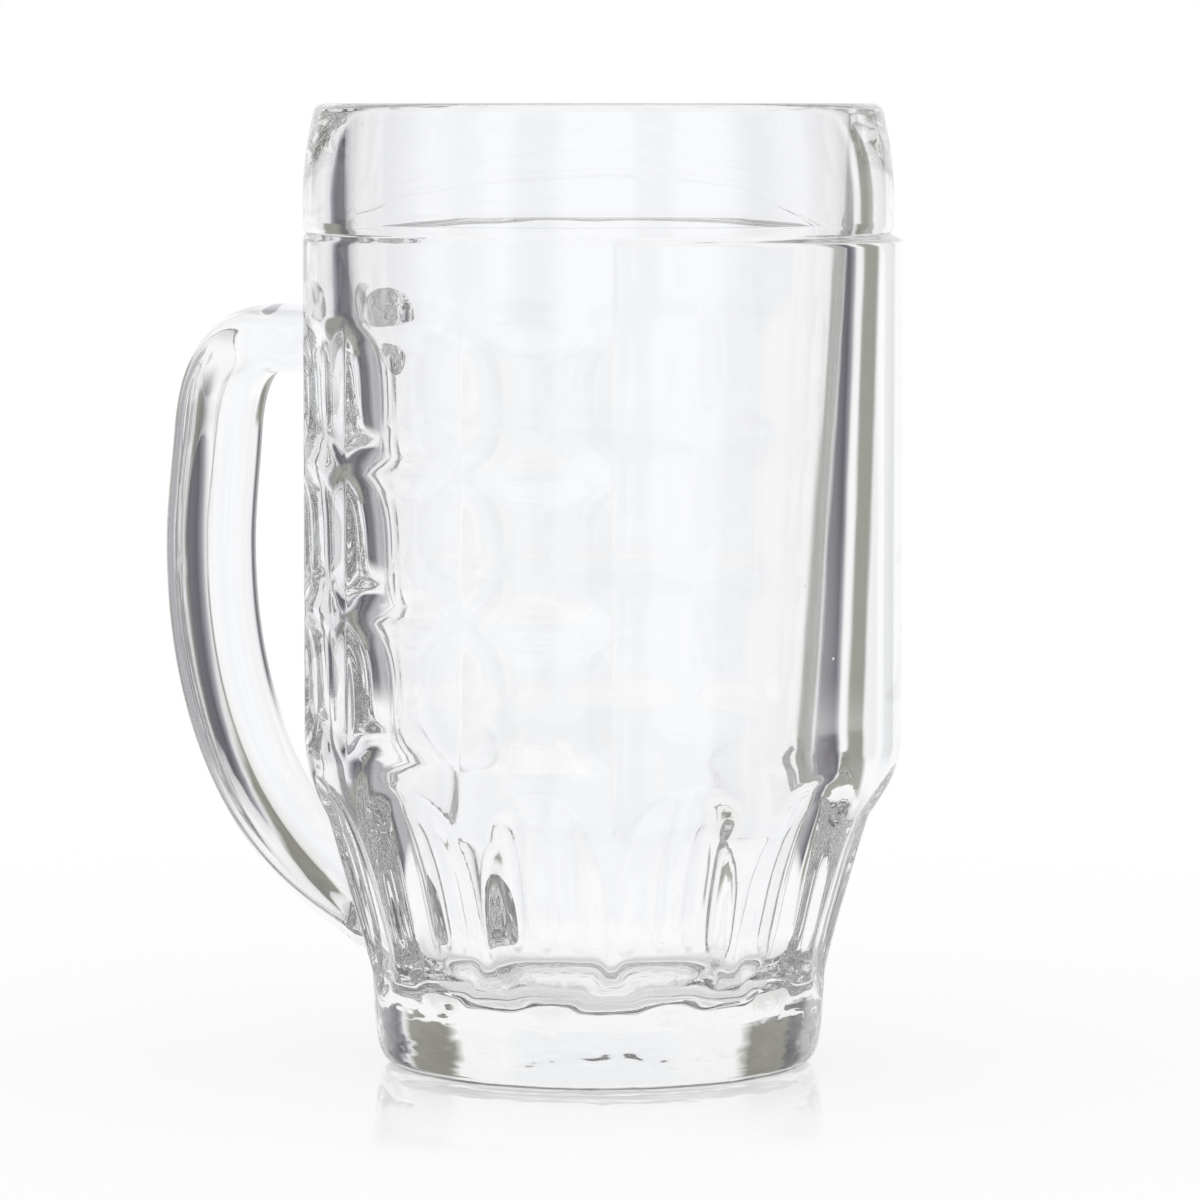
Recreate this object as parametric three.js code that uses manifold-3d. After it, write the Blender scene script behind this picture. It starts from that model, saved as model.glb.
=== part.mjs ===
// Pressed-glass beer mug: a thick round vessel with scooped dimples, a plain panel, a fluted foot and a handle.
// Millimetres, +Z up. The mug stands on z = 0, and the handle points along -X.

import * as THREE from 'three';
import { mergeVertices } from 'three/addons/utils/BufferGeometryUtils.js';
import Module from 'manifold-3d';

// Heights
const mugHeight = 150;
const rimBandHeight = 20.1;
const lipDrawIn = 15;
const shoulderTop = 51;
const shoulderHeight = 12;
const footHeight = 14.5;
const undersideRecess = 1.4;
const insideFloor = 11;

// Outside
const barrelRadius = 46;
const lipInset = 1.6;
const shoulderInset = 3.6;
const footTopRadius = 35.5;
const footDraft = 0.5;
const footRounding = 4;
const footRollIn = 4;
const standingRingWidth = 4.1;

// Wall
const lipWall = 4.4;
const lipRounding = 1.9;
const barrelWall = 6.6;
const shoulderWall = 10.8;
const taperWall = 9.2;
const cornerWall = 7.8;
const floorCorner = 9;

// Ledge between the rim band and the barrel
const ledgeDepth = 0.5;
const ledgeWidth = 0.8;

// Plain panel opposite the handle, angles in degrees
const panelRise = 1.6;
const panelEdgeRise = 0.15;
const panelHalfAngle = 60;

// Scooped dimples in adjoining columns from the panel's edges towards the handle, angles in degrees
const dimpleRows = 3;
const dimpleColumns = 4;
const dimpleRowPitch = 22.6;
const dimpleColumnPitch = 24;
const dimpleTopGap = 24.1;
const dimpleHeight = 21;
const dimpleDepth = 1.25;
const dimpleStepDepth = 0.1;
const dimpleFlankSlope = 0.65;
const dimpleRidgeWidth = 0.6;

// Flutes round the taper
const fluteCount = 12;
const fluteDepth = 2.2;
const fluteRoundness = 4.8;
const fluteRadius = 13.5;
const fluteLength = 9.5;
const fluteRise = 1.5;

// Handle, in the vertical plane through the mug's axis
const fingerGap = 17.8;
const handleWidth = 18;
const sectionSquareness = 2.3;
const sectionWidest = 0.36;
const upperArmDrop = 17.3;
const upperArmThickness = 10.9;
const gripThickness = 11.8;
const lowerArmThickness = 12;
const lowerArmHeight = 20.2;
const lowerArmReach = 11.6;
const elbowLength = 12;
const elbowRound = 7.2;
const elbowDrop = 14.6;
const gripRise = 19;
const gripLean = 1.5;
const gripSweep = 46.5;
const handleClearance = 0.3;

// Where the handle's section changes, as shares of its length from the upper root
const upperArmEnd = 0.1;
const gripStart = 0.4;
const gripEnd = 0.5;
const lowerArmStart = 0.85;

// Facets of the round forms
const roundFacets = 60;
const curveFacets = 4;
const scoopFacets = 12;
const dimpleFacets = 4;
const dimpleSteps = 8;
const dimpleOverrun = 0.4;
const handleSteps = 40;
const sectionFacets = 16;
const weldDistance = 1e-4;

// Places that follow from the sizes
const ledgeHeight = mugHeight - rimBandHeight;
const lipRadius = barrelRadius - lipInset;
const shoulderBottom = shoulderTop - shoulderHeight;
const shoulderRadius = barrelRadius - shoulderInset;
const footRadius = footTopRadius - footDraft;
const standingRadius = footRadius - footRollIn;
const recessRadius = standingRadius - standingRingWidth;
const taperLean = Math.atan2(shoulderRadius - footTopRadius, shoulderBottom - footHeight);
const handleReach = barrelRadius + fingerGap + gripThickness;

// The panel's face is rounder than the barrel: its circle has a centre of its own, off the mug's axis.
const panelFront = barrelRadius + panelRise;
const panelSide = barrelRadius + panelEdgeRise;
const panelEdge = THREE.MathUtils.degToRad(panelHalfAngle);
const panelShift = (panelFront ** 2 - panelSide ** 2) / (2 * (panelFront - panelSide * Math.cos(panelEdge)));
const panelRadius = panelFront - panelShift;

// The mug's axis stands off the origin, so that the origin is under the middle of the whole outline.
const axisX = (handleReach - panelFront) / 2;

const wasm = await Module();
wasm.setup();

// Turns a closed geometry into a solid that can be joined and cut.
function solidOf(geometry) {
  const bare = geometry.clone();
  bare.deleteAttribute('normal');
  bare.deleteAttribute('uv');
  const merged = mergeVertices(bare, weldDistance);
  const corners = merged.index.array;
  const kept = [];
  for (let i = 0; i < corners.length; i += 3) {
    const [a, b, c] = corners.slice(i, i + 3);
    if (a !== b && b !== c && c !== a) kept.push(a, b, c);
  }
  const vertProperties = new Float32Array(merged.attributes.position.array);
  return new wasm.Manifold(new wasm.Mesh({ numProp: 3, vertProperties, triVerts: new Uint32Array(kept) }));
}

function geometryOf(solid) {
  const { vertProperties, triVerts } = solid.getMesh();
  const geometry = new THREE.BufferGeometry();
  geometry.setAttribute('position', new THREE.BufferAttribute(new Float32Array(vertProperties), 3));
  geometry.setIndex(new THREE.BufferAttribute(new Uint32Array(triVerts), 1));
  geometry.computeVertexNormals();
  return geometry;
}

function cutAll(solid, cutters) {
  return cutters.reduce((rest, cutter) => rest.subtract(cutter), solid);
}

// Skin through rings of equally many points, with a flat cap on each end that fans out from a ring's first point.
function loft(rings) {
  const count = rings[0].length;
  const last = (rings.length - 1) * count;
  const index = [];
  for (let start = 0; start < last; start += count) {
    for (let i = 0; i < count; i += 1) {
      const next = (i + 1) % count;
      index.push(start + i, start + next, start + count + next);
      index.push(start + i, start + count + next, start + count + i);
    }
  }
  for (let i = 1; i + 1 < count; i += 1) {
    index.push(0, i + 1, i);
    index.push(last, last + i, last + i + 1);
  }
  const geometry = new THREE.BufferGeometry().setFromPoints(rings.flat());
  geometry.setIndex(index);
  return solidOf(geometry);
}

// Revolves a path of (radius, height) round the mug's axis.
function revolve(path) {
  const geometry = new THREE.LatheGeometry(path.getPoints(curveFacets), roundFacets);
  geometry.rotateX(Math.PI / 2);
  return solidOf(geometry);
}

// Round shoulder from the top of the taper up to a barrel of the given radius.
function shoulderTo(path, radius) {
  path.bezierCurveTo(radius, shoulderBottom + shoulderHeight / 2, radius, shoulderTop, radius, shoulderTop);
}

// Outside of the vessel from the middle of the underside up to the lip, grown by an offset.
function outerPath(offset) {
  const path = new THREE.Path();
  const lipBottom = mugHeight - lipRounding;
  const bandTop = mugHeight - lipDrawIn;
  path.moveTo(0, undersideRecess);
  path.lineTo(recessRadius - undersideRecess, undersideRecess);
  path.lineTo(recessRadius, 0);
  path.lineTo(standingRadius + offset, 0);
  path.quadraticCurveTo(footRadius + offset, 0, footRadius + offset, footRounding);
  path.lineTo(footTopRadius + offset, footHeight);
  path.lineTo(shoulderRadius + offset, shoulderBottom);
  shoulderTo(path, barrelRadius + offset);
  path.lineTo(barrelRadius + offset, ledgeHeight - ledgeWidth);
  path.lineTo(barrelRadius - ledgeDepth + offset, ledgeHeight);
  path.lineTo(barrelRadius + offset, ledgeHeight + ledgeWidth);
  path.lineTo(barrelRadius + offset, bandTop);
  path.quadraticCurveTo(barrelRadius + offset, (bandTop + lipBottom) / 2, lipRadius + offset, lipBottom);
  return path;
}

// Wall of the vessel: the outside, a rounded lip, and the plain inside, which a tapered plunger leaves: it narrows
// downwards, so that the wall grows thicker towards the shoulder, and ends in a round corner.
function wallPath() {
  const path = outerPath(0);
  const lipInside = lipRadius - lipWall;
  const cavityTop = barrelRadius - barrelWall;
  const cavityBottom = barrelRadius - shoulderWall;
  const taperInside = shoulderRadius - taperWall;
  const cornerTop = insideFloor + floorCorner;
  const cornerRadius = footTopRadius + Math.tan(taperLean) * (cornerTop - footHeight) - cornerWall;
  path.quadraticCurveTo(lipRadius, mugHeight, lipRadius - lipRounding, mugHeight);
  path.lineTo(lipInside + lipRounding, mugHeight);
  path.quadraticCurveTo(lipInside, mugHeight, lipInside, mugHeight - lipRounding);
  path.lineTo(cavityTop, ledgeHeight);
  path.lineTo(cavityBottom, shoulderTop);
  path.quadraticCurveTo(cavityBottom, shoulderTop - shoulderHeight / 4, taperInside, shoulderBottom);
  path.lineTo(cornerRadius, cornerTop);
  path.quadraticCurveTo(
    cornerRadius - Math.tan(taperLean) * floorCorner, insideFloor,
    cornerRadius - floorCorner, insideFloor,
  );
  path.lineTo(0, insideFloor);
  return path;
}

// The panel stands proud of the barrel over a sector round +X, most in its middle, and runs out on the shoulder.
function plainPanel() {
  const topRoot = barrelRadius - barrelWall / 2 - panelShift;
  const bottomRoot = shoulderRadius - taperWall / 4 - panelShift;
  const ring = new THREE.Path();
  ring.moveTo(bottomRoot, shoulderBottom);
  ring.lineTo(shoulderRadius - ledgeDepth - panelShift, shoulderBottom);
  shoulderTo(ring, panelRadius);
  ring.lineTo(panelRadius, ledgeHeight - ledgeWidth);
  ring.lineTo(topRoot, ledgeHeight - ledgeDepth);
  ring.lineTo(bottomRoot, shoulderBottom);
  const reach = 2 * panelFront;
  const sector = new THREE.Shape();
  sector.moveTo(0, 0);
  sector.lineTo(reach * Math.cos(panelEdge), -reach * Math.sin(panelEdge));
  sector.absarc(0, 0, reach, -panelEdge, panelEdge);
  const wedge = new THREE.ExtrudeGeometry(sector, { depth: mugHeight, bevelEnabled: false });
  return revolve(ring).translate([panelShift, 0, 0]).intersect(solidOf(wedge));
}

// One level of the cutter for a column of dimples: a floor round the mug's axis at a depth below the wall, and two
// flanks that slope up from it past the ridges beside the column.
function dimpleRing(wallRadius, depth, level) {
  const halfWidth = THREE.MathUtils.degToRad(dimpleColumnPitch) * barrelRadius / 2 - dimpleRidgeWidth / 2;
  const point = (rise, sideways) => {
    const angle = sideways / barrelRadius;
    const radius = wallRadius + rise;
    return new THREE.Vector3(radius * Math.cos(angle), radius * Math.sin(angle), level);
  };
  const halfFloor = halfWidth - depth / dimpleFlankSlope;
  const mouth = 2 * dimpleDepth;
  const halfMouth = halfWidth + mouth / dimpleFlankSlope;
  const ring = [point(mouth, 0), point(mouth, halfMouth)];
  for (let i = 0; i <= dimpleFacets; i += 1) {
    ring.push(point(-depth, halfFloor * (1 - 2 * i / dimpleFacets)));
  }
  ring.push(point(mouth, -halfMouth));
  return ring;
}

// Cutter for a column of dimples: each floor is an arch from top to bottom, with a shallow step between two of them,
// and the column leaves the wall beyond both its ends.
function dimpleColumn(offset) {
  const wallRadius = barrelRadius + offset;
  const topLevel = ledgeHeight - dimpleTopGap;
  const bottomLevel = topLevel - (dimpleRows - 1) * dimpleRowPitch;
  const runOut = dimpleHeight / 2 * Math.sqrt(1 + dimpleOverrun / dimpleDepth);
  const rings = [dimpleRing(wallRadius, -dimpleOverrun, bottomLevel - runOut)];
  for (let row = 0; row < dimpleRows; row += 1) {
    const first = row === 0 ? 1 : 0;
    const last = row === dimpleRows - 1 ? dimpleSteps - 1 : dimpleSteps;
    for (let i = first; i <= last; i += 1) {
      const share = 2 * i / dimpleSteps - 1;
      const depth = Math.max(dimpleDepth * (1 - share ** 2), dimpleStepDepth);
      rings.push(dimpleRing(wallRadius, depth, bottomLevel + row * dimpleRowPitch + share * dimpleHeight / 2));
    }
  }
  rings.push(dimpleRing(wallRadius, -dimpleOverrun, topLevel + runOut));
  return loft(rings);
}

function dimples(offset) {
  const cutter = dimpleColumn(offset);
  const columns = [];
  for (const side of [1, -1]) {
    for (let column = 0; column < dimpleColumns; column += 1) {
      columns.push(cutter.rotate([0, 0, side * (panelHalfAngle + (column + 0.5) * dimpleColumnPitch)]));
    }
  }
  return columns;
}

// Long round-ended scoops side by side, laid along the taper.
function flutes(offset) {
  const middle = (footHeight + shoulderBottom) / 2 + fluteRise;
  const wallRadius = footTopRadius + Math.tan(taperLean) * (middle - footHeight);
  const geometry = new THREE.CapsuleGeometry(fluteRadius - offset, fluteLength, curveFacets, scoopFacets);
  geometry.rotateX(Math.PI / 2);
  geometry.scale((fluteRoundness - offset) / (fluteRadius - offset), 1, 1);
  geometry.translate(fluteRoundness - fluteDepth, 0, 0);
  geometry.rotateY(taperLean);
  geometry.translate(wallRadius, 0, middle);
  const cutter = solidOf(geometry);
  const scoops = [];
  for (let i = 0; i < fluteCount; i += 1) {
    scoops.push(cutter.rotate([0, 0, (i + 0.5) * 360 / fluteCount]));
  }
  return scoops;
}

function mugBody() {
  const wall = revolve(wallPath()).add(plainPanel());
  return cutAll(wall, [...dimples(0), ...flutes(0)]);
}

// Outside of the whole vessel as a full solid, grown by an offset: what the handle's roots sit against.
function handleSeat(offset) {
  const path = outerPath(offset);
  path.lineTo(0, mugHeight - lipRounding);
  return cutAll(revolve(path), [...dimples(offset), ...flutes(offset)]);
}

// Middle line of the handle: straight upper arm, round elbow, bowed grip and a lower arm that sweeps to the foot.
function handleSpine() {
  const armHeight = ledgeHeight - upperArmDrop;
  const gripTop = armHeight - elbowDrop;
  const gripMiddle = gripTop - gripRise;
  const gripRadius = handleReach - gripThickness / 2;
  const topRadius = gripRadius - gripLean;
  const lean = gripLean / gripRise;
  const lowerEnd = footTopRadius - cornerWall;
  const spine = new THREE.Path();
  spine.moveTo(barrelRadius - barrelWall, armHeight);
  spine.lineTo(gripRadius - elbowLength, armHeight);
  spine.bezierCurveTo(
    gripRadius - elbowLength + elbowRound, armHeight,
    topRadius - lean * elbowRound, gripTop + elbowRound,
    topRadius, gripTop,
  );
  spine.bezierCurveTo(
    topRadius + gripLean / 3, gripTop - gripRise / 3,
    gripRadius, gripMiddle + gripRise / 3,
    gripRadius, gripMiddle,
  );
  spine.bezierCurveTo(
    gripRadius, gripMiddle - gripSweep,
    lowerEnd + lowerArmReach, lowerArmHeight,
    lowerEnd, lowerArmHeight,
  );
  return spine;
}

function handleThickness(along) {
  const toGrip = THREE.MathUtils.smoothstep(along, upperArmEnd, gripStart);
  const toLowerArm = THREE.MathUtils.smoothstep(along, gripEnd, lowerArmStart);
  const upper = THREE.MathUtils.lerp(upperArmThickness, gripThickness, toGrip);
  return THREE.MathUtils.lerp(upper, lowerArmThickness, toLowerArm);
}

function roundedOblong(share) {
  return Math.sign(share) * Math.abs(share) ** (2 / sectionSquareness);
}

// One ring of the handle: a rounded oblong square to the middle line, widest nearer its outer face.
function handleRing(spine, along) {
  const middle = spine.getPointAt(along);
  const tangent = spine.getTangentAt(along);
  const ring = [];
  for (let i = 0; i < sectionFacets; i += 1) {
    const turn = 2 * Math.PI * i / sectionFacets;
    const half = Math.cos(turn) > 0 ? sectionWidest : 1 - sectionWidest;
    const across = (half * roundedOblong(Math.cos(turn)) + 0.5 - sectionWidest) * handleThickness(along);
    const sideways = roundedOblong(Math.sin(turn)) * handleWidth / 2;
    ring.push(new THREE.Vector3(tangent.y * across - middle.x, sideways, middle.y + tangent.x * across));
  }
  return ring;
}

function handle() {
  const spine = handleSpine();
  const rings = [];
  for (let i = 0; i <= handleSteps; i += 1) {
    rings.push(handleRing(spine, i / handleSteps));
  }
  return loft(rings).subtract(handleSeat(handleClearance));
}

const mug = new THREE.Group();

// Clear pressed glass, faintly blue-grey.
function place(name, solid) {
  const glass = new THREE.MeshStandardMaterial({ color: 0xf3f5f9, roughness: 0.05, metalness: 0 });
  const mesh = new THREE.Mesh(geometryOf(solid), glass);
  mesh.name = name;
  mesh.position.x = axisX;
  mug.add(mesh);
}

place('mug_body', mugBody());
place('handle', handle());

export default mug;
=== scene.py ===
import math

import bpy
import numpy as np
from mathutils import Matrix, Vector


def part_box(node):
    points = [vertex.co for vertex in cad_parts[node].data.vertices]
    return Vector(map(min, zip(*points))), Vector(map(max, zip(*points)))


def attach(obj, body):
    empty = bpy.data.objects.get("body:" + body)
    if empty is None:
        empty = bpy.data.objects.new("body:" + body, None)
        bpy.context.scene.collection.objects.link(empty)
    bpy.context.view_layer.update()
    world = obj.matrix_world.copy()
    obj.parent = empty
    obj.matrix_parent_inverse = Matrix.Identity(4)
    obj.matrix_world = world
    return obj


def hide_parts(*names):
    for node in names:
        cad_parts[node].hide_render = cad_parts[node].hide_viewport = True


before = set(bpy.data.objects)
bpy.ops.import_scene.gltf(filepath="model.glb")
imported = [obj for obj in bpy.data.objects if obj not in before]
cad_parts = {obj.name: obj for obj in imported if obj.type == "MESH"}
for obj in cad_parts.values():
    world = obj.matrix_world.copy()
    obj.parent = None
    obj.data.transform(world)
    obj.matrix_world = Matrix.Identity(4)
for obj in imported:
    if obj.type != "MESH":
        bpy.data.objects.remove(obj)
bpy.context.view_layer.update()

# The camera
# A long lens at the height of the rim, nearly a metre from the mug's axis, with the handle to the left.
# It looks down a little, so that the mug fills the square picture with no shift.
mm = 0.001
body_low, body_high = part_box("mug_body")
barrel_radius = body_high.y
axis_x = body_low.x + barrel_radius
mug_height = body_high.z
camera_azimuth = math.radians(27)
camera_distance = 985 * mm
camera_height = 150 * mm
picture_pixels = 1200
focal_pixels = 6317
level_line_pixel = 103
axis_pixel = 598.5
away = Vector((math.sin(camera_azimuth), -math.cos(camera_azimuth), 0))
sideways = Vector((math.cos(camera_azimuth), math.sin(camera_azimuth), 0))
camera_data = bpy.data.cameras.new("camera")
camera_data.sensor_width = 36
camera_data.lens = camera_data.sensor_width * focal_pixels / picture_pixels
camera_data.clip_start = 0.05
camera = bpy.data.objects.new("camera", camera_data)
camera.location = Vector((axis_x, 0, camera_height)) + away * camera_distance
sight = (
    -away
    + sideways * (picture_pixels / 2 - axis_pixel) / focal_pixels
    - Vector((0, 0, 1)) * (picture_pixels / 2 - level_line_pixel) / focal_pixels
)
camera.rotation_euler = sight.to_track_quat("-Z", "Y").to_euler()
bpy.context.scene.collection.objects.link(camera)
bpy.context.scene.camera = camera

# The vessel
# One thick piece of clear soda-lime glass, pressed in a mould round a smooth plunger and then fire-polished.
# It has a plain rim band, scooped dimples, a raised plain panel, a fluted taper and a heavy round foot.
rim_band_height = 20.1 * mm
lip_draw_in = 15 * mm
lip_inset = 1.6 * mm
lip_wall = 4.4 * mm
lip_rounding = 1.9 * mm
ledge_depth = 0.5 * mm
ledge_width = 0.8 * mm
shoulder_top = 51 * mm
shoulder_height = 12 * mm
shoulder_inset = 3.6 * mm
foot_height = 14.5 * mm
foot_top_radius = 35.5 * mm
foot_draft = 0.5 * mm
foot_rounding = 4 * mm
foot_roll_in = 4 * mm
standing_ring_width = 4.1 * mm
underside_recess = 1.4 * mm
inside_floor = 11 * mm
barrel_wall = 6.6 * mm
shoulder_wall = 10.8 * mm
taper_wall = 9.2 * mm
corner_wall = 7.8 * mm
floor_corner = 9 * mm
fire_polish = 0.45 * mm
parting_depth = 0.16 * mm
parting_half_width = 0.16 * mm
lap_bearing = math.radians(117)
lap_below_lip = 16.4 * mm
lap_left_fall = 1.4 * mm
lap_right_fall = 3.4 * mm
lap_depth = 0.22 * mm
lap_half_width = 0.22 * mm
lap_reach = 6 * mm
lap_left_bend = 0.8
lap_right_bend = 0.6
lap_end_softness = 0.08
knurl_count = 96
knurl_depth = 0.12 * mm
knurl_run_out = 1 * mm
knurl_outer_rows = 8

panel_half_angle = math.radians(60)
panel_rise = body_high.x - axis_x - barrel_radius
panel_edge_width = 0.8 * mm
panel_edge_rise = 0.15 * mm
panel_top_gap = 0.2 * ledge_width
panel_top_round = 1.2 * ledge_width

dimple_rows = 3
dimple_columns = 4
dimple_row_pitch = 22.6 * mm
dimple_column_pitch = math.radians(30)
dimple_top_gap = 24.1 * mm
dimple_height = 21 * mm
dimple_depth = 1.75 * mm
dimple_squareness = 3.2
dimple_ridge_rounding = 0.45 * mm
ridge_zone = 0.06
ridge_crowding = 3

flute_count = 12
flute_depth = 2.2 * mm
flute_roundness = 4.8 * mm
flute_radius = 13.5 * mm
flute_length = 9.5 * mm
flute_rise = 1.5 * mm
flute_top_stretch = 1.33
flute_top_start = 3 * mm
flute_edge_softness = 0.5 * mm
flute_facing_limit = 0.5

vessel_columns = 376
under_row_spacing = 4 * mm
under_rows_per_radian = 4
outer_row_spacing = 1.5 * mm
inner_row_spacing = 3 * mm
lap_row_count = 9

ledge_height = mug_height - rim_band_height
shoulder_bottom = shoulder_top - shoulder_height
shoulder_radius = barrel_radius - shoulder_inset
foot_radius = foot_top_radius - foot_draft
standing_radius = foot_radius - foot_roll_in
recess_radius = standing_radius - standing_ring_width
lip_radius = barrel_radius - lip_inset
taper_slope = (shoulder_radius - foot_top_radius) / (shoulder_bottom - foot_height)
panel_front = barrel_radius + panel_rise
panel_side = barrel_radius + panel_edge_rise
panel_side_reach = panel_side * math.cos(panel_half_angle)
panel_shift = (panel_front ** 2 - panel_side ** 2) / (panel_front - panel_side_reach) / 2
panel_radius = panel_front - panel_shift


def curve(*points):
    """Bezier curve through the first and last point, pulled by those between, as 40 points."""
    t = np.linspace(0, 1, 40)[:, None]
    p = [np.asarray(point) for point in points]
    while len(p) > 1:
        p = [(1 - t) * a + t * b for a, b in zip(p, p[1:])]
    return p[0]


def polished(points, radius):
    """Outline through points, resampled evenly, each corner rounded by a Gaussian mean along it."""
    step = 0.05 * mm
    along = np.concatenate([[0], np.cumsum(np.hypot(*np.diff(points, axis=0).T))])
    even = np.arange(0, along[-1], step)
    line = np.stack([np.interp(even, along, points[:, k]) for k in (0, 1)], 1)
    reach = int(3 * radius / step)
    bell = np.exp(-0.5 * (np.arange(-reach, reach + 1) * step / radius) ** 2)
    ends = np.concatenate([2 * line[0] - line[reach:0:-1], line, 2 * line[-1] - line[-2:-reach - 2:-1]])
    return np.stack([np.convolve(ends[:, k], bell / bell.sum(), "valid") for k in (0, 1)], 1)


lip_bottom = mug_height - lip_rounding
band_top = mug_height - lip_draw_in
outside = polished(np.vstack([
    [(recess_radius, 0), (standing_radius, 0)],
    curve((standing_radius, 0), (foot_radius, 0), (foot_radius, foot_rounding),
          (foot_top_radius, foot_height)),
    [(shoulder_radius, shoulder_bottom)],
    curve((shoulder_radius, shoulder_bottom), (barrel_radius, shoulder_bottom + shoulder_height / 2),
          (barrel_radius, shoulder_top), (barrel_radius, shoulder_top)),
    [(barrel_radius, ledge_height - ledge_width), (barrel_radius - ledge_depth, ledge_height),
     (barrel_radius, ledge_height + ledge_width)],
    curve((barrel_radius, band_top), (barrel_radius, (band_top + lip_bottom) / 2), (lip_radius, lip_bottom)),
    curve((lip_radius, lip_bottom), (lip_radius, mug_height), (lip_radius - lip_rounding, mug_height)),
]), fire_polish)
from_parting = np.abs(outside[:, 1] - ledge_height) / parting_half_width
outside[:, 0] -= parting_depth * np.clip(1 - from_parting, 0, 1)
lip_inside = lip_radius - lip_wall
cavity_top = barrel_radius - barrel_wall
cavity_bottom = barrel_radius - shoulder_wall
taper_inside = shoulder_radius - taper_wall
corner_top = inside_floor + floor_corner
corner_radius = foot_top_radius + taper_slope * (corner_top - foot_height) - corner_wall
inside = polished(np.vstack([
    [(lip_radius - lip_rounding, mug_height)],
    curve((lip_inside + lip_rounding, mug_height), (lip_inside, mug_height), (lip_inside, lip_bottom)),
    [(cavity_top, ledge_height)],
    curve((cavity_bottom, shoulder_top), (cavity_bottom, shoulder_top - shoulder_height / 4),
          (taper_inside, shoulder_bottom)),
    curve((corner_radius, corner_top), (corner_radius - taper_slope * floor_corner, inside_floor),
          (corner_radius - floor_corner, inside_floor)),
    [(0, inside_floor)],
]), fire_polish)
underside = polished(np.array([
    (0, underside_recess), (recess_radius - underside_recess, underside_recess), (recess_radius, 0),
    (standing_radius, 0),
]), fire_polish)
outside_rising = outside[np.argmin(np.abs(outside[:, 0] - standing_radius)):]
underside_inward = underside[:np.argmin(np.abs(underside[:, 0] - standing_radius))]


def soft_min(a, b, width):
    """Lower of two surfaces, with a rounded valley of the given width where they cross."""
    share = np.clip(0.5 + 0.5 * (b - a) / width, 0, 1)
    return b + (a - b) * share - width * share * (1 - share)


def ease(x, low, high):
    """Smooth step from 0 at low to 1 at high."""
    t = np.clip((x - low) / (high - low), 0, 1)
    return t * t * (3 - 2 * t)


def turned(angle, centre):
    """Angle from a centre line, wrapped to half a turn each way."""
    return (angle - centre + np.pi) % (2 * np.pi) - np.pi


def plain_radius(height):
    """Radius of the outside with no panel, dimples or flutes: the polished outline read at a height."""
    return np.interp(height, outside_rising[:, 1], outside_rising[:, 0])


def panel_proud(angle, height):
    """Rise of the panel: a rounder circle than the barrel's, off its axis, that grows with the shoulder,
    stops at the ledge and steps off at both sides."""
    grown = np.clip((plain_radius(height) - shoulder_radius) / shoulder_inset, 0, 1)
    panel_top = ledge_height - panel_top_gap
    topped = ease(height, panel_top, panel_top - panel_top_round)
    edge = panel_edge_width / barrel_radius / 2
    sided = ease(np.abs(angle), panel_half_angle + edge, panel_half_angle - edge)
    across = panel_shift * np.sin(angle)
    proud = panel_shift * np.cos(angle) + np.sqrt(panel_radius ** 2 - across ** 2) - barrel_radius
    return proud * np.where(height > shoulder_bottom, grown, 0) * topped * sided


def dimple_hollow(angle, height):
    """Depth of the scooped dimples: the product of two arches, a parabola across the column and a squarer
    one along it. The ridges between columns have rounded crests."""
    column_width = dimple_column_pitch * barrel_radius
    from_panel = (np.abs(angle) - panel_half_angle) / dimple_column_pitch
    from_ridge = column_width * np.abs(from_panel - np.round(from_panel))
    from_crest = np.hypot(from_ridge, dimple_ridge_rounding) - dimple_ridge_rounding
    across = 1 - 2 * from_crest / column_width
    down = (ledge_height - dimple_top_gap - height) / dimple_row_pitch
    from_row = (down - np.clip(np.round(down), 0, dimple_rows - 1)) * dimple_row_pitch
    along = np.abs(2 * from_row / dimple_height) ** dimple_squareness
    scoop = dimple_depth * np.clip(1 - across ** 2, 0, 1) * np.clip(1 - along, 0, 1)
    return np.where((from_panel > 0) & (from_panel < dimple_columns), scoop, 0)


def flute_radius_at(angle, height, centre_angle):
    """Radius of a long round-ended scoop: a flattened capsule along the taper, its upper end drawn out."""
    middle = (foot_height + shoulder_bottom) / 2 + flute_rise
    off = turned(angle, centre_angle)
    taper = foot_top_radius + taper_slope * (height - foot_height)
    along = (height - middle) * math.hypot(1, taper_slope)
    above = (along - flute_length / 2 + flute_top_start) / flute_top_stretch
    beyond = np.maximum(np.maximum(above, -along - flute_length / 2), 0)
    from_line = np.hypot(taper * np.sin(off), beyond)
    share = np.clip(from_line / flute_radius, 0, 1)
    plane = taper - flute_depth + flute_roundness * (1 - np.sqrt(1 - share ** 2))
    facing = np.cos(off)
    in_scoop = (share < 1) & (facing > flute_facing_limit)
    return np.where(in_scoop, plane / np.maximum(facing, flute_facing_limit), 2 * barrel_radius)


def outer_radius(angle, height):
    """Radius of the finished outside: outline and panel less dimples and flutes, with softened edges."""
    radius = plain_radius(height) + panel_proud(angle, height) - dimple_hollow(angle, height)
    for i in range(flute_count):
        scoop = flute_radius_at(angle, height, (i + 0.5) * 2 * np.pi / flute_count)
        radius = soft_min(radius, scoop, flute_edge_softness)
    return radius


def rows_along(line, spacing, per_radian=7):
    """Points of an outline, spaced evenly on straights and closer where it bends."""
    step = np.hypot(*np.diff(line, axis=0).T)
    heading = np.unwrap(np.arctan2(*np.diff(line, axis=0).T[::-1]))
    weight = step / spacing + per_radian * np.abs(np.gradient(heading))
    total = np.concatenate([[0], np.cumsum(weight)])
    wanted = np.linspace(0, total[-1], int(round(total[-1])) + 1)
    return np.stack([np.interp(wanted, total, line[:, k]) for k in (0, 1)], 1)


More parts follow.
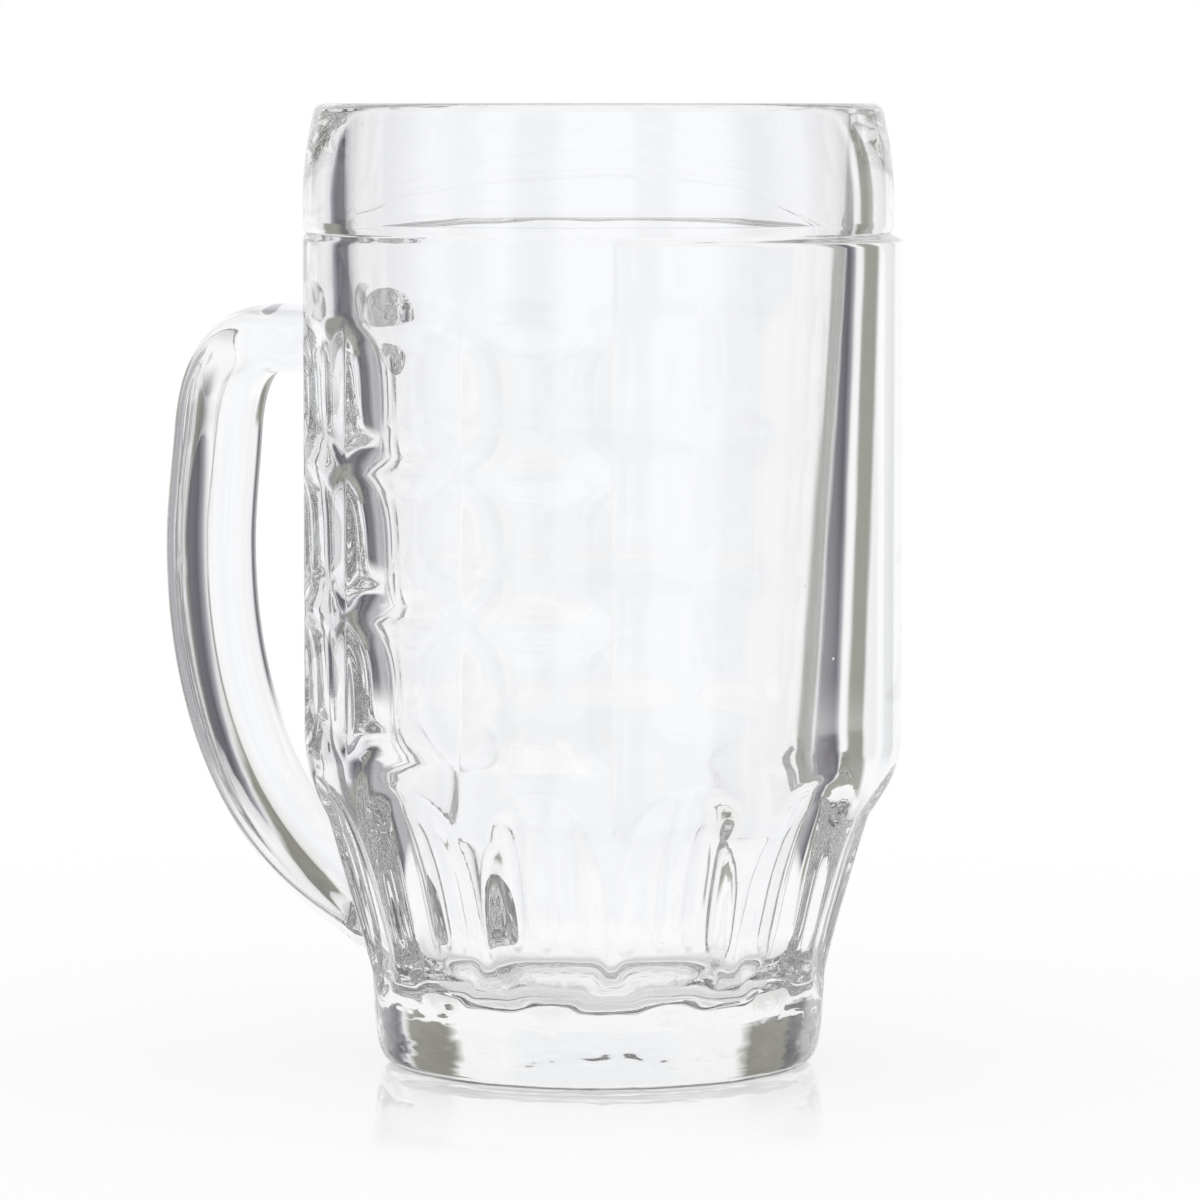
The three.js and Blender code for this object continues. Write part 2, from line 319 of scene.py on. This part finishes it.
def columns_round(count):
    """Angles round the axis, evenly spaced but closer at the panel's edges and the dimples' ridges."""
    fine_steps = 40000
    even = np.linspace(-np.pi, np.pi, fine_steps + 1)
    from_panel = (np.abs(even) - panel_half_angle) / dimple_column_pitch
    from_ridge = from_panel - np.clip(np.round(from_panel), 0, dimple_columns)
    weight = 1 + ridge_crowding * np.exp(-(from_ridge / ridge_zone) ** 2)
    total = np.concatenate([[0], np.cumsum((weight[1:] + weight[:-1]) / 2)])
    return np.interp(np.arange(count) * total[-1] / count, total, even)


def grid_mesh(name, x, y, z):
    """Closed mesh of a grid whose columns run round and whose first and last rows are poles."""
    rows, columns = x.shape
    inner = np.stack([x, y, z], -1)[1:-1].reshape(-1, 3)
    poles = np.array([[x[0, 0], y[0, 0], z[0, 0]], [x[-1, 0], y[-1, 0], z[-1, 0]]])
    points = np.vstack([inner, poles])
    ring = np.arange(columns)
    after = (ring + 1) % columns
    start = np.arange(rows - 3)[:, None] * columns
    quads = np.stack([start + ring, start + after, start + columns + after, start + columns + ring], -1)
    first, last = len(inner), len(inner) + 1
    top = (rows - 3) * columns
    fan_first = np.stack([np.full(columns, first), after, ring], -1)
    fan_last = np.stack([np.full(columns, last), top + ring, top + after], -1)
    faces = quads.reshape(-1, 4).tolist() + fan_first.tolist() + fan_last.tolist()
    mesh = bpy.data.meshes.new(name)
    mesh.from_pydata(points, [], faces)
    mesh.polygons.foreach_set("use_smooth", np.ones(len(faces), bool))
    mesh.update()
    piece = bpy.data.objects.new(name, mesh)
    bpy.context.scene.collection.objects.link(piece)
    return piece


under_rows = rows_along(underside_inward, under_row_spacing, under_rows_per_radian)
outer_rows = rows_along(outside_rising, outer_row_spacing)
inner_rows = rows_along(inside, inner_row_spacing)
lap_height = mug_height - lap_below_lip
lap_rows = lap_height + lap_half_width * np.linspace(2, -2, lap_row_count)
lap_rows = np.stack([np.interp(-lap_rows, -inside[:, 1], inside[:, 0]), lap_rows], 1)
inner_rows = np.vstack([inner_rows, lap_rows])
inner_rows = inner_rows[np.argsort(-inner_rows[:, 1] - inner_rows[:, 0], kind="stable")]
profile = np.vstack([under_rows, outer_rows, inner_rows[1:]])
row_index = np.arange(len(profile))[:, None]
is_inner = row_index >= len(under_rows) + len(outer_rows)
is_outer = (row_index >= len(under_rows)) & ~is_inner
angles = columns_round(vessel_columns)
angle_grid, height_grid = np.meshgrid(angles, profile[:, 1])
pressed = outer_radius(angle_grid, height_grid) - plain_radius(height_grid)
radius_grid = profile[:, :1] + pressed * is_outer

# Cool glass that lapped over itself on the plunger left a long mark inside, below the lip at the back.
# Fine radial knurling on the standing ring keeps scratches off the glass.
from_lap = np.abs(height_grid - lap_height)
behind = np.cos(angle_grid - lap_bearing)
at_back = ease(behind, -lap_end_softness, lap_end_softness) * is_inner
rightward = np.sin(lap_bearing - angle_grid)
falls = lap_left_fall * ease(-rightward, lap_left_bend, 1)
falls += lap_right_fall * ease(rightward, lap_right_bend, 1)
height_grid -= at_back * falls * ease(from_lap, lap_reach, 2 * lap_half_width)
radius_grid += at_back * lap_depth * np.clip(1 - from_lap / lap_half_width, 0, 1)
on_ring = ease(radius_grid, recess_radius, recess_radius + knurl_run_out)
on_ring *= ease(radius_grid, standing_radius, standing_radius - knurl_run_out)
is_under = (row_index < len(under_rows) + knurl_outer_rows) & (height_grid < underside_recess / 4)
height_grid += knurl_depth * on_ring * is_under * (0.5 - 0.5 * np.cos(knurl_count * angle_grid))
mug = grid_mesh("pressed_glass_mug", axis_x + radius_grid * np.cos(angle_grid),
                radius_grid * np.sin(angle_grid), height_grid)


def linear(hex_colour):
    """Linear RGBA of an sRGB hex colour."""
    s = np.array([int(hex_colour[i:i + 2], 16) for i in (1, 3, 5)]) / 255
    return (*np.where(s <= 0.04045, s / 12.92, ((s + 0.055) / 1.055) ** 2.4), 1)


def node(tree, kind, settings=(), **links):
    """Adds a node, sets its properties or inputs by name, and links inputs, by name or number, to outputs."""
    made = tree.nodes.new(kind)
    for key, value in dict(settings).items():
        if isinstance(key, int) or key in made.inputs:
            made.inputs[key].default_value = value
        else:
            setattr(made, key, value)
    for key, output in links.items():
        numbered = key.startswith("in") and key[2:].isdigit()
        socket = int(key[2:]) if numbered else key.replace("_", " ")
        tree.links.new(output, made.inputs[socket])
    return made


# Clear soda-lime glass, pressed and fire-polished: it is bright and colourless where thin, with a faint
# grey-green where light runs far through it. Its skin has slow waves, upright ripples, a few small bubbles
# called seeds, and wrinkles near the foot, where the mould chilled it first.
wave_size = 14 * mm
wave_depth = 0.03 * mm
ripple_width = 3 * mm
ripple_depth = 0.006 * mm
ripple_draw = 0.06
seed_spacing = 12 * mm
seed_radius = 0.3 * mm
seed_depth = 0.15 * mm
wrinkle_size = 3.4 * mm
wrinkle_depth = 0.165 * mm
wrinkle_crowding = (0.6, 0.6, 1.2)
wrinkles_fade_from = 10 * mm
wrinkles_end = 22 * mm
pressed_glass = bpy.data.materials.new("pressed_soda_lime_glass")
pressed_glass.use_nodes = True
tree = pressed_glass.node_tree
tree.nodes.clear()
place = node(tree, "ShaderNodeTexCoord").outputs["Object"]
waves = node(tree, "ShaderNodeTexNoise", {"Scale": 1 / wave_size, "Detail": 1.0}, Vector=place)
skin = node(tree, "ShaderNodeBump", {"Strength": 1.0, "Distance": wave_depth}, Height=waves.outputs["Fac"])
drawn = node(tree, "ShaderNodeMapping", {"Scale": (1, 1, ripple_draw)}, Vector=place)
ripples = node(tree, "ShaderNodeTexNoise", {"Scale": 1 / ripple_width, "Detail": 1.0},
               Vector=drawn.outputs["Vector"])
rippled = node(tree, "ShaderNodeBump", {"Strength": 1.0, "Distance": ripple_depth},
               Height=ripples.outputs["Fac"], Normal=skin.outputs["Normal"])
cells = node(tree, "ShaderNodeTexVoronoi", {"Scale": 1 / seed_spacing}, Vector=place)
seeds = node(tree, "ShaderNodeMapRange", {"From Min": 0.0, "From Max": seed_radius / seed_spacing},
             Value=cells.outputs["Distance"])
seeded = node(tree, "ShaderNodeBump", {"Strength": 1.0, "Distance": seed_depth},
              Height=seeds.outputs["Result"], Normal=rippled.outputs["Normal"])
chilled = node(tree, "ShaderNodeMapping", {"Scale": wrinkle_crowding}, Vector=place)
wrinkles = node(tree, "ShaderNodeTexNoise", {"Scale": 1 / wrinkle_size, "Detail": 1.0},
                Vector=chilled.outputs["Vector"])
height = node(tree, "ShaderNodeSeparateXYZ", {}, Vector=place).outputs["Z"]
near_foot = node(tree, "ShaderNodeMapRange", {
    "From Min": wrinkles_fade_from, "From Max": wrinkles_end, "To Min": 1.0, "To Max": 0.0}, Value=height)
wrinkled = node(tree, "ShaderNodeBump", {"Distance": wrinkle_depth}, Strength=near_foot.outputs["Result"],
                Height=wrinkles.outputs["Fac"], Normal=seeded.outputs["Normal"])
glass = node(tree, "ShaderNodeBsdfPrincipled", {
    "Base Color": linear("#FFFFFF"),
    "Roughness": 0.0,
    "IOR": 1.52,
    "Transmission Weight": 1.0,
}, Normal=wrinkled.outputs["Normal"])
output = node(tree, "ShaderNodeOutputMaterial", {}, Surface=glass.outputs["BSDF"])
depth_tint = node(tree, "ShaderNodeVolumeAbsorption", {"Color": linear("#C6C9C4"), "Density": 2.4})
tree.links.new(depth_tint.outputs["Volume"], output.inputs["Volume"])
mug.data.materials.append(pressed_glass)
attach(mug, "root")
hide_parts("mug_body")

# The handle
# A bowed bar of the same glass with a rounded oblong section, stuck to the wall while both were hot.
# Its two roots flare a little and follow the wall, into which they sink by a hair, as fused glass does.
finger_gap = 17.8 * mm
handle_width = 18 * mm
section_squareness = 2.3
widest_share = 0.36
upper_arm_drop = 17.3 * mm
upper_arm_thickness = 10.9 * mm
grip_thickness = 11.8 * mm
lower_arm_thickness = 12 * mm
lower_arm_height = 20.2 * mm
lower_arm_reach = 11.6 * mm
elbow_length = 12 * mm
elbow_round = 7.2 * mm
elbow_drop = 14.6 * mm
grip_rise = 19 * mm
grip_lean = 1.5 * mm
grip_sweep = 46.5 * mm
upper_arm_end = 0.1
grip_start = 0.4
grip_end = 0.5
lower_arm_start = 0.85
spine_rounding = 1 * mm
root_depth = 0.4 * mm
root_flare = 0.14
root_flare_length = 2.5 * mm
root_search = 0.2
root_tries = 600
section_points = 96
handle_stations = 200


def handle_line():
    """Middle line of the handle as (distance from the axis, height): arm, elbow, bowed grip, lower arm."""
    arm = ledge_height - upper_arm_drop
    top = arm - elbow_drop
    middle = top - grip_rise
    grip = barrel_radius + finger_gap + grip_thickness / 2
    bent = grip - grip_lean
    lean = grip_lean / grip_rise
    end = foot_top_radius - corner_wall
    line = np.vstack([
        [(barrel_radius - barrel_wall, arm)],
        curve((grip - elbow_length, arm), (grip - elbow_length + elbow_round, arm),
              (bent - lean * elbow_round, top + elbow_round), (bent, top)),
        curve((bent, top), (bent + grip_lean / 3, top - grip_rise / 3), (grip, middle + grip_rise / 3),
              (grip, middle))[1:],
        curve((grip, middle), (grip, middle - grip_sweep), (end + lower_arm_reach, lower_arm_height),
              (end, lower_arm_height))[1:],
    ])
    return polished(line, spine_rounding)


spine = handle_line()
spine_length = np.concatenate([[0], np.cumsum(np.hypot(*np.diff(spine, axis=0).T))])
spine_share = spine_length / spine_length[-1]
spine_heading = np.gradient(spine, spine_length, axis=0)


def handle_points(along, turn, scale):
    """Points of the handle at shares of its length and angles of turn: a superellipse square to its middle
    line, widest at a share of its thickness from the outer face."""
    reach, level = (np.interp(along, spine_share, spine[:, k]) for k in (0, 1))
    out, up = (np.interp(along, spine_share, spine_heading[:, k]) for k in (0, 1))
    to_grip = ease(along, upper_arm_end, grip_start)
    thickness = upper_arm_thickness + (grip_thickness - upper_arm_thickness) * to_grip
    to_lower_arm = ease(along, grip_end, lower_arm_start)
    thickness = thickness + (lower_arm_thickness - thickness) * to_lower_arm
    wall_gap = np.maximum(reach - plain_radius(level), 0)
    flare = 1 + root_flare * np.exp(-wall_gap / root_flare_length)
    power = 2 / section_squareness
    half = np.where(np.cos(turn) > 0, widest_share, 1 - widest_share)
    across = half * np.sign(np.cos(turn)) * np.abs(np.cos(turn)) ** power + 0.5 - widest_share
    across = scale * flare * thickness * across
    side = scale * flare * handle_width / 2 * np.sign(np.sin(turn)) * np.abs(np.sin(turn)) ** power
    return axis_x - reach + up * across, side, level + out * across


def root_share(turn, scale, low, high):
    """Share of the handle's length where a line of its skin has sunk into the wall by the root's depth."""
    tries = np.linspace(low, high, root_tries)[:, None]
    x, y, z = handle_points(tries, turn[None, :], scale)
    depth = np.hypot(x - axis_x, y) - outer_radius(np.arctan2(y, x - axis_x), z) + root_depth
    if low < grip_start:
        crossed = np.argmax(depth > 0, axis=0)
    else:
        crossed = len(tries) - np.argmax(depth[::-1] > 0, axis=0)
    crossed = np.clip(crossed, 1, len(tries) - 1)
    column = np.arange(len(turn))
    before, after = depth[crossed - 1, column], depth[crossed, column]
    return tries[crossed - 1, 0] + (tries[1, 0] - tries[0, 0]) * before / (before - after)


section_turns = np.linspace(0, 2 * np.pi, section_points, endpoint=False)
cap_scales = np.array([0.02, 0.25, 0.5, 0.75, 0.92])
upper_ends = [root_share(section_turns, s, 0, root_search) for s in (*cap_scales, 1)]
lower_ends = [root_share(section_turns, s, 1 - root_search, 1) for s in (*cap_scales, 1)]
stations = np.linspace(0, 1, handle_stations)[:, None]
along_grid = np.vstack([
    *[e[None] for e in upper_ends[:-1]],
    upper_ends[-1] + (lower_ends[-1] - upper_ends[-1]) * stations,
    *[e[None] for e in lower_ends[-2::-1]],
])
scale_grid = np.concatenate([cap_scales, np.ones(handle_stations), cap_scales[::-1]])[:, None]
hx, hy, hz = handle_points(along_grid, section_turns[None, :], scale_grid)
for row in (0, -1):
    hx[row], hy[row], hz[row] = hx[row].mean(), hy[row].mean(), hz[row].mean()
handle = grid_mesh("pressed_glass_handle", hx, hy, hz)
handle.data.materials.append(pressed_glass)
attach(handle, "root")
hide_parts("handle")

# The floor
# A sheet of glossy white acrylic that the mug stands on, with a soft mirror image near the foot.
# It fades into the plain white of the tent.
floor_radius = 330 * mm
floor_fades_from = 190 * mm
floor_level = -0.05 * mm
floor_corners = 64
mirror_full_within = 30 * mm
mirror_ends = 110 * mm
mirror_most = 0.38
whiteness = 0.75
turns = np.linspace(0, 2 * np.pi, floor_corners, endpoint=False)
floor_mesh = bpy.data.meshes.new("floor")
floor_points = np.stack([
    floor_radius * np.cos(turns), floor_radius * np.sin(turns), np.full(floor_corners, floor_level)], 1)
floor_mesh.from_pydata(floor_points, [], [list(range(floor_corners))])
floor = bpy.data.objects.new("floor", floor_mesh)
bpy.context.scene.collection.objects.link(floor)
acrylic = bpy.data.materials.new("glossy_white_acrylic")
acrylic.use_nodes = True
tree = acrylic.node_tree
tree.nodes.clear()
place = node(tree, "ShaderNodeTexCoord").outputs["Object"]
from_mug = node(tree, "ShaderNodeVectorMath", {"operation": "LENGTH"}, in0=place).outputs["Value"]
fade = node(tree, "ShaderNodeMapRange", {
    "interpolation_type": "SMOOTHSTEP", "From Min": floor_fades_from, "From Max": floor_radius},
    Value=from_mug)
matt = node(tree, "ShaderNodeBsdfDiffuse", {"Color": linear("#FDFDFD")})
gloss = node(tree, "ShaderNodeBsdfGlossy", {"Color": linear("#FFFFFF"), "Roughness": 0.06})
gloss_share = node(tree, "ShaderNodeMapRange", {
    "interpolation_type": "SMOOTHSTEP", "From Min": mirror_full_within, "From Max": mirror_ends,
    "To Min": mirror_most, "To Max": 0.0}, Value=from_mug)
lit = node(tree, "ShaderNodeEmission", {"Color": linear("#FFFFFF"), "Strength": 1.0})
path = node(tree, "ShaderNodeLightPath")
to_camera = node(tree, "ShaderNodeMath", {"operation": "MULTIPLY", 1: whiteness},
                 in0=path.outputs["Is Camera Ray"])
to_glass = node(tree, "ShaderNodeMath", {"operation": "MAXIMUM"}, in0=path.outputs["Is Transmission Ray"],
                in1=to_camera.outputs[0])
sheet = node(tree, "ShaderNodeMixShader", {}, in0=to_glass.outputs[0], in1=matt.outputs["BSDF"],
             in2=lit.outputs["Emission"])
seen_sheet = node(tree, "ShaderNodeMixShader", {}, in0=gloss_share.outputs["Result"],
                  in1=sheet.outputs["Shader"], in2=gloss.outputs["BSDF"])
away_from_mug = node(tree, "ShaderNodeBsdfTransparent")
run_out = node(tree, "ShaderNodeMixShader", {}, in0=fade.outputs["Result"], in1=seen_sheet.outputs["Shader"],
               in2=away_from_mug.outputs["BSDF"])
node(tree, "ShaderNodeOutputMaterial", {}, Surface=run_out.outputs["Shader"])
floor_mesh.materials.append(acrylic)

# The light
# A white studio tent lights the mug evenly from all round. Upright dark flags, a raised card at each side of
# the back and a dark roof are seen only in the glass: they draw the edges of its wall and relief, as in
# bright-field glass photography. Bearings are degrees from straight behind the mug, to the left.
white = "#FFFFFF"
purple = "#58545F"
charcoal = "#68686B"
grey = "#B4B3B8"
olive = "#868878"
pale_olive = "#94968A"
bearings = [
    (-180, white), (-126, white), (-120, olive), (-106, olive), (-98, white), (-82, white),
    (-77, grey), (-53, purple), (-50.5, "#A4A4AC"), (-48.5, white), (-44.5, white),
    (-42, pale_olive), (-31.5, pale_olive), (-29, white), (-17, white), (-13, "#FAFBFE"), (13, "#FAFBFE"),
    (17, white), (30, white), (36.5, "#E6E7EC"), (39.5, "#8E8C97"), (42, purple), (55, charcoal),
    (62, grey), (104, grey), (110, white), (142, white), (148, olive), (160, olive), (166, white),
    (180, white),
]
card_inner_edge = (28, 32)
card_outer_edge = (49, 45)
card_lower_edge = (-0.03, 0.0)
card_grey = "#8E8D84"
roof_edge = (0.5, 0.65)
scene = bpy.context.scene
scene.view_settings.view_transform = "Standard"
scene.cycles.max_bounces = 32
scene.cycles.glossy_bounces = 32
scene.cycles.transmission_bounces = 32
tent = bpy.data.worlds.new("studio_tent")
scene.world = tent
tent.use_nodes = True
tree = tent.node_tree
tree.nodes.clear()
direction = node(tree, "ShaderNodeTexCoord").outputs["Generated"]
parts = node(tree, "ShaderNodeSeparateXYZ", {}, Vector=direction)
bearing = node(tree, "ShaderNodeMath", {"operation": "ARCTAN2"}, in0=parts.outputs["Y"],
               in1=parts.outputs["X"])
back_bearing = math.pi / 2 + camera_azimuth
from_back = node(tree, "ShaderNodeMath", {"operation": "SUBTRACT", 1: back_bearing}, in0=bearing.outputs[0])
wrapped = node(tree, "ShaderNodeMath", {"operation": "WRAP", 1: math.pi, 2: -math.pi},
               in0=from_back.outputs[0])
share = node(tree, "ShaderNodeMapRange", {"From Min": -math.pi, "From Max": math.pi},
             Value=wrapped.outputs[0])
flags = node(tree, "ShaderNodeValToRGB", {}, Fac=share.outputs[0])
stops = flags.color_ramp.elements
stops[0].color, stops[1].color = linear(bearings[0][1]), linear(bearings[-1][1])
for degrees, colour in bearings[1:-1]:
    stops.new(0.5 + degrees / 360).color = linear(colour)


def ramp(value, low, high):
    """Adds a straight ramp from 0 where the value is low to 1 where it is high."""
    return node(tree, "ShaderNodeMapRange", {"From Min": low, "From Max": high}, Value=value).outputs[0]


def both(a, b):
    """Adds the product of two shares."""
    return node(tree, "ShaderNodeMath", {"operation": "MULTIPLY"}, in0=a, in1=b).outputs[0]


to_side = node(tree, "ShaderNodeMath", {"operation": "ABSOLUTE"}, in0=wrapped.outputs[0]).outputs[0]
past_inner_edge = ramp(to_side, *np.radians(card_inner_edge))
before_outer_edge = ramp(to_side, *np.radians(card_outer_edge))
above_lower_edge = ramp(parts.outputs["Z"], *card_lower_edge)
card = both(both(past_inner_edge, before_outer_edge), above_lower_edge)
around = node(tree, "ShaderNodeMixRGB", {"Color2": linear(card_grey)}, Fac=card,
              Color1=flags.outputs["Color"])
roof = ramp(parts.outputs["Z"], *roof_edge)
all_round = node(tree, "ShaderNodeMixRGB", {"Color2": linear(charcoal)}, Fac=roof,
                 Color1=around.outputs[0])
seen = node(tree, "ShaderNodeLightPath")
through = node(tree, "ShaderNodeMath", {"operation": "MAXIMUM"}, in0=seen.outputs["Is Glossy Ray"],
               in1=seen.outputs["Is Transmission Ray"])
cloth = node(tree, "ShaderNodeMixRGB", {"Color1": linear(white)}, Fac=through.outputs[0],
             Color2=all_round.outputs[0])
glow = node(tree, "ShaderNodeBackground", {"Strength": 1.0}, Color=cloth.outputs[0])
node(tree, "ShaderNodeOutputWorld", {}, Surface=glow.outputs[0])
